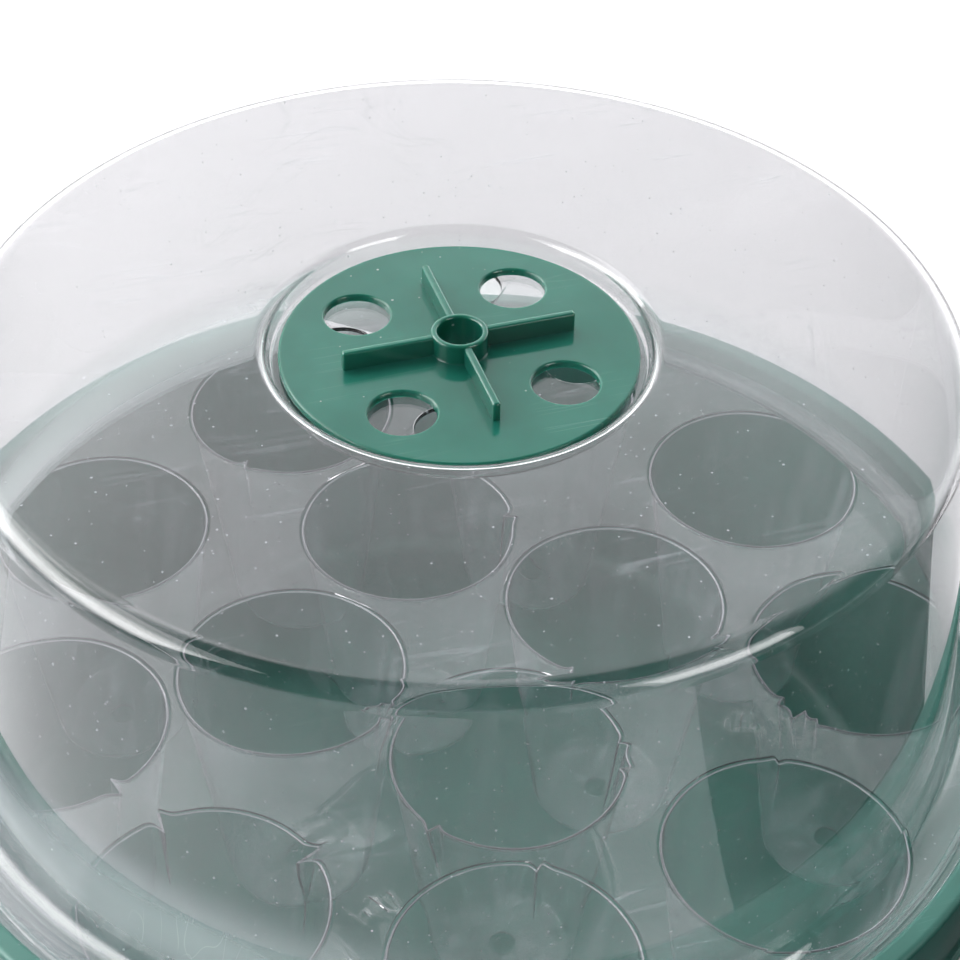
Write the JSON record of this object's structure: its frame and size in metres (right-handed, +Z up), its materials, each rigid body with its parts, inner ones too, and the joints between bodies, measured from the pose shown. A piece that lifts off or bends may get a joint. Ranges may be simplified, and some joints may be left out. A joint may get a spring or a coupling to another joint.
{
  "type": "humidity dome tray",
  "caption": "Round seed-starting tray: a green water basin, a clear sheet of round cups, and a clear domed lid with a turning air vent in its top.",
  "frame": {"origin": "centre of the foot ring, on the surface the tray stands on", "axes": "+Z up along the centre line; +X and +Y along the grip blades of the vent and the inner ring of cups"},
  "size_m": [0.2016, 0.2016, 0.1271],
  "materials": {
    "green_basin": "glossy moulded polypropylene, dark green",
    "clear_film": "clear thin vacuum-formed sheet, slightly hazy",
    "clear_dome": "clear glossy moulded plastic",
    "green_dial": "satin-gloss moulded plastic, mid green"
  },
  "bodies": {
    "basin": {"base_basin": "green_basin"},
    "cells": {"cell_insert": "clear_film"},
    "lid": {"dome_shell": "clear_dome"},
    "vent": {"vent_dial": "green_dial"}
  },
  "joints": [
    {"name": "cells_lift", "type": "slide", "parent": "basin", "child": "cells", "axis": [0, 0, 1], "range_m": [0, 0.062]},
    {"name": "lid_lift", "type": "slide", "parent": "cells", "child": "lid", "axis": [0, 0, 1], "range_m": [0, 0.08]},
    {"name": "vent_turn", "type": "hinge", "parent": "lid", "child": "vent", "pos_m": [0, 0, 0.1222], "axis": [0, 0, 1], "continuous": true}
  ]
}
